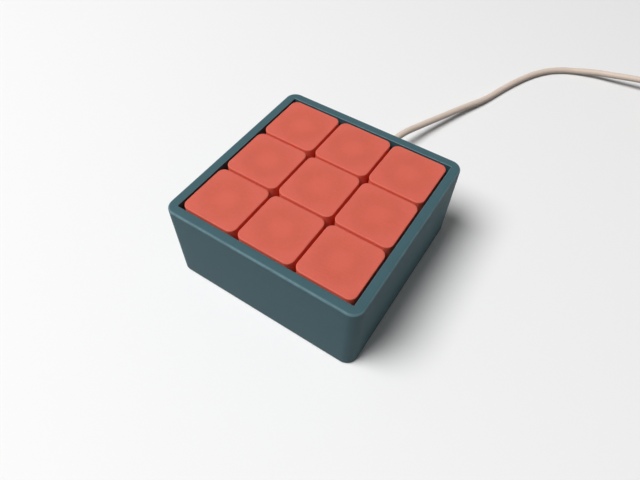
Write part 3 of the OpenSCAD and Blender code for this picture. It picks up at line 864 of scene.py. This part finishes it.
class Shader:
    """A node material with short calls for what the finishes below share."""

    def __init__(self, name, color, roughness, metallic=0.0):
        self.name = name
        self.mat = bpy.data.materials.new(name)
        self.mat.use_nodes = True
        self.tree = self.mat.node_tree
        self.bsdf = self.tree.nodes["Principled BSDF"]
        self.bsdf.inputs["Metallic"].default_value = metallic
        self.bsdf.inputs["IOR"].default_value = IOR
        self.bsdf.inputs["Base Color"].default_value = (*color, 1)
        self.bsdf.inputs["Roughness"].default_value = roughness
        self.color = color
        self.height = None
        coords = self.tree.nodes.new("ShaderNodeTexCoord")
        scale = self.tree.nodes.new("ShaderNodeVectorMath")
        scale.operation = "SCALE"
        scale.inputs["Scale"].default_value = 1 / MM
        self.tree.links.new(coords.outputs["Object"], scale.inputs[0])
        self.place = scale.outputs[0]

    def set(self, **sockets):
        """Sets sockets of the shader itself, named with _ for a space."""
        for name, value in sockets.items():
            self.bsdf.inputs[name.replace("_", " ")].default_value = value

    def math(self, operation, a, b=0.0, c=None):
        """The result of a sum on numbers or other nodes' outputs."""
        made = self.tree.nodes.new("ShaderNodeMath")
        made.operation = operation
        for socket, value in zip(made.inputs, (a, b, c)):
            self.feed(socket, value)
        return made.outputs[0]

    def feed(self, socket, value):
        """Gives a socket a number, or links another node's output to it."""
        if value is None:
            return
        if isinstance(value, (int, float)):
            socket.default_value = value
        else:
            self.tree.links.new(value, socket)

    def axes(self):
        """The place on the piece along X, Y and Z."""
        made = self.tree.nodes.new("ShaderNodeSeparateXYZ")
        self.tree.links.new(self.place, made.inputs[0])
        return made.outputs[0], made.outputs[1], made.outputs[2]

    def distance(self, a, b):
        """How far a point is from zero by its two coordinates."""
        return self.math(
            "SQRT", self.math("ADD", self.math("MULTIPLY", a, a), self.math("MULTIPLY", b, b))
        )

    def noise(self, size, detail, roughness=0.5, stretch=None):
        """Noise from 0 to 1 with lumps of about the given size in millimetres."""
        made = self.tree.nodes.new("ShaderNodeTexNoise")
        made.inputs["Scale"].default_value = 1 / size
        made.inputs["Detail"].default_value = detail
        made.inputs["Roughness"].default_value = roughness
        source = self.place
        if stretch:
            widen = self.tree.nodes.new("ShaderNodeVectorMath")
            widen.operation = "MULTIPLY"
            widen.inputs[1].default_value = stretch
            self.tree.links.new(self.place, widen.inputs[0])
            source = widen.outputs[0]
        self.tree.links.new(source, made.inputs["Vector"])
        return made.outputs["Fac"]

    def mixed(self, share, a, b):
        """One value or another by a share from 0 to 1."""
        made = self.tree.nodes.new("ShaderNodeMix")
        for name, value in (("Factor", share), ("A", a), ("B", b)):
            self.feed(made.inputs[name], value)
        return made.outputs["Result"]

    def ramp(self, value, low, high, out_low, out_high):
        """Eases from one output to the other as a value goes from low to high."""
        made = self.tree.nodes.new("ShaderNodeMapRange")
        made.interpolation_type = "SMOOTHSTEP"
        self.tree.links.new(value, made.inputs["Value"])
        for name, number in (
            ("From Min", low), ("From Max", high), ("To Min", out_low), ("To Max", out_high)
        ):
            made.inputs[name].default_value = number
        return made.outputs["Result"]

    def tint(self, value, darkest, lightest):
        """Varies the colour between two multiples of itself as a value goes from 0 to 1."""
        made = self.tree.nodes.new("ShaderNodeMix")
        made.data_type = "RGBA"
        self.feed(made.inputs["Factor"], value)
        base = self.color
        made.inputs["A"].default_value = (*(min(c * darkest, 1) for c in base), 1)
        made.inputs["B"].default_value = (*(min(c * lightest, 1) for c in base), 1)
        self.tree.links.new(made.outputs["Result"], self.bsdf.inputs["Base Color"])

    def rough(self, value, low, high):
        """Varies the roughness from low to high as a value goes from 0 to 1."""
        self.tree.links.new(self.ramp(value, 0, 1, low, high), self.bsdf.inputs["Roughness"])

    def bump(self, value, depth):
        """Adds relief of the given depth in millimetres."""
        made = self.tree.nodes.new("ShaderNodeBump")
        made.inputs["Strength"].default_value = 1
        made.inputs["Distance"].default_value = depth * MM
        self.tree.links.new(value, made.inputs["Height"])
        if self.height:
            self.tree.links.new(self.height, made.inputs["Normal"])
        self.height = made.outputs["Normal"]
        self.tree.links.new(self.height, self.bsdf.inputs["Normal"])

    def flatness(self):
        """1 on level faces and 0 on upright ones."""
        geometry = self.tree.nodes.new("ShaderNodeNewGeometry")
        split = self.tree.nodes.new("ShaderNodeSeparateXYZ")
        self.tree.links.new(geometry.outputs["True Normal"], split.inputs[0])
        return self.ramp(self.math("ABSOLUTE", split.outputs[2]), LEVEL_FROM, LEVEL_TO, 0, 1)

    def edges(self):
        """1 on the rounded edges between level and upright faces, 0 elsewhere."""
        geometry = self.tree.nodes.new("ShaderNodeNewGeometry")
        split = self.tree.nodes.new("ShaderNodeSeparateXYZ")
        self.tree.links.new(geometry.outputs["Normal"], split.inputs[0])
        slope = self.math("ABSOLUTE", split.outputs[2])
        return self.math(
            "MULTIPLY",
            self.ramp(slope, *EDGE_BEGINS, 0, 1),
            self.ramp(slope, *EDGE_ENDS, 1, 0),
        )

    def blend_in(self, color, amount):
        """Lays another colour over the present one where the amount is above 0."""
        present = self.bsdf.inputs["Base Color"].links[0].from_socket
        made = self.tree.nodes.new("ShaderNodeMix")
        made.data_type = "RGBA"
        self.feed(made.inputs["Factor"], amount)
        self.tree.links.new(present, made.inputs["A"])
        made.inputs["B"].default_value = (*color, 1)
        self.tree.links.new(made.outputs["Result"], self.bsdf.inputs["Base Color"])

    def waves(self, value, pitch):
        """A rounded ridge pattern of the given pitch along a value in millimetres."""
        phase = self.math("MULTIPLY", value, 2 * math.pi / pitch)
        return self.math("MULTIPLY_ADD", self.math("SINE", phase), 0.5, 0.5)


LAYER, LAYER_DEPTH, LAYER_WANDER = 0.2, 0.018, 0.1
LINE, LINE_DEPTH, LINE_WANDER = 0.42, 0.012, 0.15
GRAIN_DEPTH, FINE_DEPTH = 0.02, 0.01


def printed(name, color, roughness, lines_turn=45):
    """Printed plastic: layers on upright faces, drawn lines on level ones, faint mottling."""
    s = Shader(name, color, roughness)
    s.set(Specular_IOR_Level=0.2)
    x, y, z = s.axes()
    mottle = s.noise(size=5, detail=4)
    fine = s.noise(size=0.35, detail=3, roughness=0.6)
    flat = s.flatness()
    upright = s.math("SUBTRACT", 1, flat)
    bands = s.noise(size=0.7, detail=4, roughness=0.7, stretch=(0.03, 0.03, 1))
    cos, sin = math.cos(math.radians(lines_turn)), math.sin(math.radians(lines_turn))
    across = s.math("ADD", s.math("MULTIPLY", x, cos), s.math("MULTIPLY", y, sin))
    wander = s.noise(size=9, detail=2)
    drawn_out = (cos + 0.05 * sin, sin - 0.05 * cos, 0.2)
    streaks = s.noise(size=0.6, detail=3, roughness=0.6, stretch=drawn_out)
    grain = s.mixed(flat, bands, streaks)
    shade = s.math("MULTIPLY_ADD", fine, 0.4, s.math("MULTIPLY", mottle, 0.3))
    s.tint(s.math("MULTIPLY_ADD", grain, 0.3, shade), 0.8, 1.2)
    s.rough(fine, roughness - 0.09, roughness + 0.07)
    height = s.math("MULTIPLY_ADD", wander, LAYER_WANDER, z)
    layers = s.math("MULTIPLY", s.waves(height, LAYER), upright)
    place = s.math("MULTIPLY_ADD", wander, LINE_WANDER, across)
    lines = s.math("MULTIPLY", s.waves(place, LINE), flat)
    s.bump(layers, LAYER_DEPTH)
    s.bump(lines, LINE_DEPTH)
    s.bump(grain, GRAIN_DEPTH)
    s.bump(fine, FINE_DEPTH)
    return s


def near_key(s, value):
    """Distance along one axis from the nearest key centre."""
    from_edge = s.math("ADD", value, PITCH * 1.5)
    return s.math("SUBTRACT", s.math("MODULO", from_edge, PITCH), PITCH / 2)


CAP_COLOR = (0.605, 0.12, 0.08)
# Painted highlight round the border of each cap's top
CAP_BORDER_HIGHLIGHT_COLOR = (0.73, 0.154, 0.116)
CAP_DISC_COLOR = (0.665, 0.132, 0.091)
# Painted light on the caps' upright sides
CAP_SIDE_GLOW_COLOR = (0.75, 0.13, 0.08)
# Painted highlight on the caps' rounded edges
CAP_EDGE_HIGHLIGHT_COLOR = (0.8, 0.2, 0.15)
CAP_EDGE_HIGHLIGHT_SHARE = 0.45
BORDER_FROM, BORDER_TO, BORDER_HIGHLIGHT_SHARE = 5.6, 10, 0.3
DISC_FROM, DISC_TO, DISC_SHARE = 1.2, 5, 0.75
RING_WANDER = 0.9
SCATTER_DEPTH = 1.5


def cap_finish():
    """Coral printed plastic: a painted highlight round the border of the top, a ring in the dish
    and a lighter disc in its middle; painted light on the sides and a painted highlight on the
    rounded edges.
    """
    s = printed("cap_plastic", CAP_COLOR, 0.62, lines_turn=-45)
    x, y, _ = s.axes()
    away = s.distance(near_key(s, x), near_key(s, y))
    fuzz = s.math("SUBTRACT", s.noise(size=1.4, detail=2), 0.5)
    away = s.math("ADD", away, s.math("MULTIPLY", fuzz, RING_WANDER))
    flat = s.flatness()
    border_highlight = s.math("MULTIPLY", s.ramp(away, BORDER_FROM, BORDER_TO, 0, BORDER_HIGHLIGHT_SHARE), flat)
    disc = s.math("MULTIPLY", s.ramp(away, DISC_FROM, DISC_TO, DISC_SHARE, 0), flat)
    # Painted highlight: a paler coral round the border of each cap's top
    s.blend_in(CAP_BORDER_HIGHLIGHT_COLOR, border_highlight)
    s.blend_in(CAP_DISC_COLOR, disc)
    # Painted light: the upright sides are made brighter and redder for light scattered through and
    # bounced between the caps
    s.blend_in(CAP_SIDE_GLOW_COLOR, s.math("SUBTRACT", 1, flat))
    # Painted highlight: a paler coral on the caps' rounded edges
    s.blend_in(CAP_EDGE_HIGHLIGHT_COLOR, s.math("MULTIPLY", s.edges(), CAP_EDGE_HIGHLIGHT_SHARE))
    s.set(
        Subsurface_Weight=0.2,
        Subsurface_Scale=SCATTER_DEPTH * MM,
        Subsurface_Radius=(1.0, 0.25, 0.15),
    )
    return s


# Painted highlight on the case's rounded edges: how much paler they are made, and how much smoother
EDGE_HIGHLIGHT_GAIN, EDGE_HIGHLIGHT_LIFT, WORN_POLISH = 1.7, 0.05, 0.24


def case_finish(name, color, roughness):
    """Teal printed plastic with a painted highlight on its rounded edges, which are also made
    smoother.
    """
    s = printed(name, color, roughness)
    patches = s.ramp(s.noise(size=2.2, detail=4, roughness=0.6), 0.3, 0.7, 0.55, 0.95)
    highlight_and_polish = s.math("MULTIPLY", patches, s.edges())
    # Painted highlight: the rounded edges take a paler teal in patches
    s.blend_in(tuple(c * EDGE_HIGHLIGHT_GAIN + EDGE_HIGHLIGHT_LIFT for c in color), highlight_and_polish)
    dull = s.bsdf.inputs["Roughness"].links[0].from_socket
    s.feed(s.bsdf.inputs["Roughness"], s.mixed(highlight_and_polish, dull, roughness - WORN_POLISH))
    return s


def moulded(name, color, roughness, grain=0.25, depth=0.006):
    """Moulded plastic or rubber with a fine even grain."""
    s = Shader(name, color, roughness)
    fine = s.noise(size=grain, detail=3)
    s.tint(s.noise(size=4, detail=3), 0.93, 1.07)
    s.rough(fine, roughness - 0.06, roughness + 0.06)
    s.bump(fine, depth)
    return s


SCRATCH_DEPTH = 0.003


def metal(name, color, roughness, stretch):
    """Drawn or rolled metal with fine scratches, short along the axes with a high stretch."""
    s = Shader(name, color, roughness, metallic=1.0)
    scratch = s.noise(size=0.3, detail=4, roughness=0.6, stretch=stretch)
    s.tint(s.noise(size=2.5, detail=3), 0.88, 1.08)
    s.rough(scratch, roughness - 0.08, roughness + 0.14)
    s.bump(scratch, SCRATCH_DEPTH)
    return s


TRACK_PITCH, TRACK_BEND, LANE_PITCH, LANE_BEND = 1.6, 5, 2.6, 4
COPPER_DEPTH = 0.02


def board_finish():
    """Solder mask with faint copper tracks under it."""
    s = Shader("board_laminate", (0.01, 0.055, 0.04), 0.3)
    x, y, _ = s.axes()
    bent_x = s.math("MULTIPLY_ADD", s.noise(size=6, detail=0), TRACK_BEND, x)
    tracks = s.ramp(s.waves(bent_x, TRACK_PITCH), 0.72, 0.82, 0, 1)
    bent_y = s.math("MULTIPLY_ADD", s.noise(size=7, detail=0), LANE_BEND, y)
    lanes = s.ramp(s.waves(bent_y, LANE_PITCH), 0.85, 0.92, 0, 1)
    copper = s.math("MAXIMUM", tracks, lanes)
    s.tint(copper, 0.9, 1.7)
    s.bump(copper, COPPER_DEPTH)
    s.rough(s.noise(size=1, detail=2), 0.24, 0.38)
    return s


THREAD, WEAVE_DEPTH = 0.55, 0.05


def strap_finish():
    """Woven strap: threads over and under in two directions."""
    s = Shader("tie_strap", (0.025, 0.026, 0.028), 0.85)
    x, y, z = s.axes()
    one = s.waves(s.math("ADD", x, y), THREAD)
    two = s.waves(s.math("SUBTRACT", s.math("SUBTRACT", x, y), z), THREAD)
    weave = s.math("MULTIPLY", one, two)
    s.tint(weave, 0.7, 1.9)
    s.bump(weave, WEAVE_DEPTH)
    s.set(Sheen_Weight=0.3, Sheen_Roughness=0.5)
    return s


CASE_COLOR = (0.047, 0.103, 0.122)
PLATE_COLOR = (0.045, 0.097, 0.115)
FINISHES = {
    shader.name: shader.mat
    for shader in (
        case_finish("case_plastic", CASE_COLOR, 0.58),
        case_finish("cover_plastic", CASE_COLOR, 0.6),
        printed("plate_plastic", PLATE_COLOR, 0.62),
        cap_finish(),
        moulded("stem_plastic", (0.42, 0.03, 0.02), 0.32),
        moulded("housing_plastic", (0.022, 0.022, 0.024), 0.45),
        metal("spring_steel", (0.62, 0.61, 0.58), 0.28, stretch=(1, 1, 6)),
        metal("screw_steel", (0.5, 0.49, 0.47), 0.36, stretch=(4, 1, 1)),
        moulded("foot_rubber", (0.022, 0.022, 0.022), 0.82, grain=0.4, depth=0.02),
        board_finish(),
        moulded("chip_resin", (0.018, 0.018, 0.019), 0.6, grain=0.15),
        metal("socket_steel", (0.66, 0.65, 0.62), 0.3, stretch=(1, 5, 1)),
        metal("contact_brass", (0.78, 0.56, 0.25), 0.3, stretch=(1, 1, 5)),
        moulded("cord_jacket", (0.69, 0.57, 0.48), 0.44, grain=0.5, depth=0.01),
        moulded("cord_moulding", (0.71, 0.6, 0.52), 0.42, grain=0.3, depth=0.008),
        strap_finish(),
    )
}


def finish_with(obj, slot):
    """Gives a piece the material of a slot of the CAD model."""
    obj.data.materials.clear()
    obj.data.materials.append(FINISHES[slot])


for subpart in frame["record"]["subparts"]:
    for slot in frame["nodes"][subpart["node"]].material_slots:
        slot.material = FINISHES[subpart["material_slot"]]


# Pieces, what carries them and which CAD nodes they stand for

case_shell = make_case()
finish_with(case_shell, "case_plastic")
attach(case_shell, "root")
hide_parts("case")

cap_form = make_cap_form(node_box("keycap_middle_centre")[1].z)
for key, key_x, key_y in KEYS:
    cap = make_cap(cap_form, key, key_x, key_y)
    finish_with(cap, "cap_plastic")
    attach(cap, f"key_{key}")
    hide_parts(f"keycap_{key}")
    make_spring(key, key_x, key_y)
bpy.data.objects.remove(cap_form)

connector_grip, connector_tip = make_connector()
plug_grip, plug_shell, plug_tongue, plug_contacts = make_plug()
tie_strap = make_tie()
for piece, slot in (
    (connector_grip, "cord_moulding"),
    (connector_tip, "socket_steel"),
    (plug_grip, "cord_moulding"),
    (plug_shell, "socket_steel"),
    (plug_tongue, "cord_moulding"),
    (plug_contacts, "contact_brass"),
    (tie_strap, "tie_strap"),
    (cord, "cord_jacket"),
):
    finish_with(piece, slot)
    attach(piece, "root")
for piece in (connector_grip, connector_tip):
    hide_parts("cable_connector")
for piece in (plug_grip, plug_shell, plug_tongue, plug_contacts):
    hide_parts("cable_plug")
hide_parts("cable_tie")
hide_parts("cable_lead", "cable_coil")


# Floor, light and world

FLOOR_SHADE = 0.88
FLOOR_BOUNCE = 0.26
FLOOR_ROUGHNESS = 0.75
FLOOR_HALF = 3000
FLOOR_DROP = 0.02
FADE_NEAR, FADE_FAR = 220, 800
LAMP_PLACE, LAMP_AIM = (-0.54, -0.6, 1.5), (0, 0, 0.01)
LAMP_SIZE, LAMP_POWER = 1.0, 32
WORLD_LIGHT = 0.1


def seen_directly(tree):
    """1 for rays from the camera, from gloss and through glass, and 0 for soft bounced light."""
    rays = tree.nodes.new("ShaderNodeLightPath")
    total = rays.outputs["Is Camera Ray"]
    for name in ("Is Glossy Ray", "Is Transmission Ray"):
        most = tree.nodes.new("ShaderNodeMath")
        most.operation = "MAXIMUM"
        tree.links.new(total, most.inputs[0])
        tree.links.new(rays.outputs[name], most.inputs[1])
        total = most.outputs[0]
    return total


def make_floor():
    """A pale floor that throws little light back and fades to white far from the object."""
    size = FLOOR_HALF
    verts = [(-size, -size, 0), (size, -size, 0), (size, size, 0), (-size, size, 0)]
    floor = mesh_object("floor", verts, [(0, 1, 2, 3)])
    s = Shader("floor", (FLOOR_SHADE,) * 3, FLOOR_ROUGHNESS)
    seen = seen_directly(s.tree)
    s.tint(seen, FLOOR_BOUNCE / FLOOR_SHADE, 1)
    x, y, _ = s.axes()
    far = s.math("MULTIPLY", s.ramp(s.distance(x, y), FADE_NEAR, FADE_FAR, 0, 1), seen)
    glow = s.tree.nodes.new("ShaderNodeEmission")
    mix = s.tree.nodes.new("ShaderNodeMixShader")
    s.tree.links.new(far, mix.inputs[0])
    s.tree.links.new(s.bsdf.outputs[0], mix.inputs[1])
    s.tree.links.new(glow.outputs[0], mix.inputs[2])
    s.tree.links.new(mix.outputs[0], s.tree.nodes["Material Output"].inputs["Surface"])
    floor.data.materials.append(s.mat)
    floor.location.z = -FLOOR_DROP * MM


def make_lamp():
    """One large soft lamp, high at the front left as in the photograph."""
    data = bpy.data.lights.new("key_light", "AREA")
    data.shape = "DISK"
    data.size = LAMP_SIZE
    data.energy = LAMP_POWER
    lamp = collection_link(bpy.data.objects.new("key_light", data))
    lamp.location = LAMP_PLACE
    lamp.rotation_mode = "QUATERNION"
    way = Vector(LAMP_AIM) - Vector(LAMP_PLACE)
    lamp.rotation_quaternion = way.to_track_quat("-Z", "Y")


def make_world():
    """A white surround that gives the object only a little fill light."""
    world = bpy.data.worlds.new("studio")
    bpy.context.scene.world = world
    world.use_nodes = True
    tree = world.node_tree
    tree.nodes.clear()
    out = tree.nodes.new("ShaderNodeOutputWorld")
    lit, seen = (tree.nodes.new("ShaderNodeBackground") for _ in range(2))
    lit.inputs["Color"].default_value = (1, 1, 1, 1)
    lit.inputs["Strength"].default_value = WORLD_LIGHT
    seen.inputs["Color"].default_value = (1, 1, 1, 1)
    mix = tree.nodes.new("ShaderNodeMixShader")
    tree.links.new(seen_directly(tree), mix.inputs[0])
    tree.links.new(lit.outputs[0], mix.inputs[1])
    tree.links.new(seen.outputs[0], mix.inputs[2])
    tree.links.new(mix.outputs[0], out.inputs["Surface"])


make_floor()
make_lamp()
make_world()
bpy.context.scene.view_settings.view_transform = "Standard"
